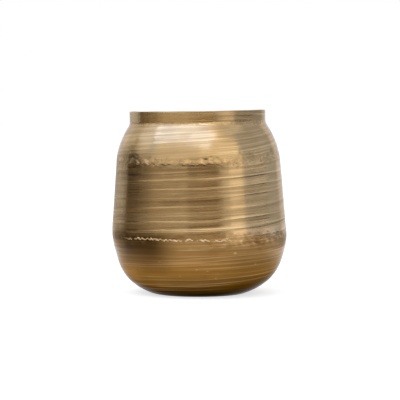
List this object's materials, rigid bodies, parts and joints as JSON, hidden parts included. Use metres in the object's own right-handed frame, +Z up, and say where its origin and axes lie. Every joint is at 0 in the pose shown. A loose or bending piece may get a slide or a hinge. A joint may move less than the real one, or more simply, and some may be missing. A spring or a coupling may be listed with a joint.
{
  "type": "cachepot",
  "caption": "Hand-built brass sheet cachepot with an upright collar, domed shoulder, tapered drum, rounded bowl and raised weld seams.",
  "frame": {"origin": "centre of the flat base, on the surface that the pot stands on", "axes": "+Z up along the pot's axis, -Y towards the viewer, +X to the viewer's right; the rolled strips are closed at +Y"},
  "size_m": [0.1712, 0.1712, 0.178],
  "materials": {
    "brushed_brass": "antique brass, brushed round the pot",
    "weld_brass": "weld metal, hammered and part brushed"
  },
  "bodies": {
    "root": {"collar": "brushed_brass", "shoulder": "brushed_brass", "drum": "brushed_brass", "bowl": "brushed_brass", "collar_braze": "weld_brass", "upper_weld": "weld_brass", "lower_weld": "weld_brass", "drum_weld": "weld_brass", "collar_weld": "weld_brass"}
  },
  "joints": []
}
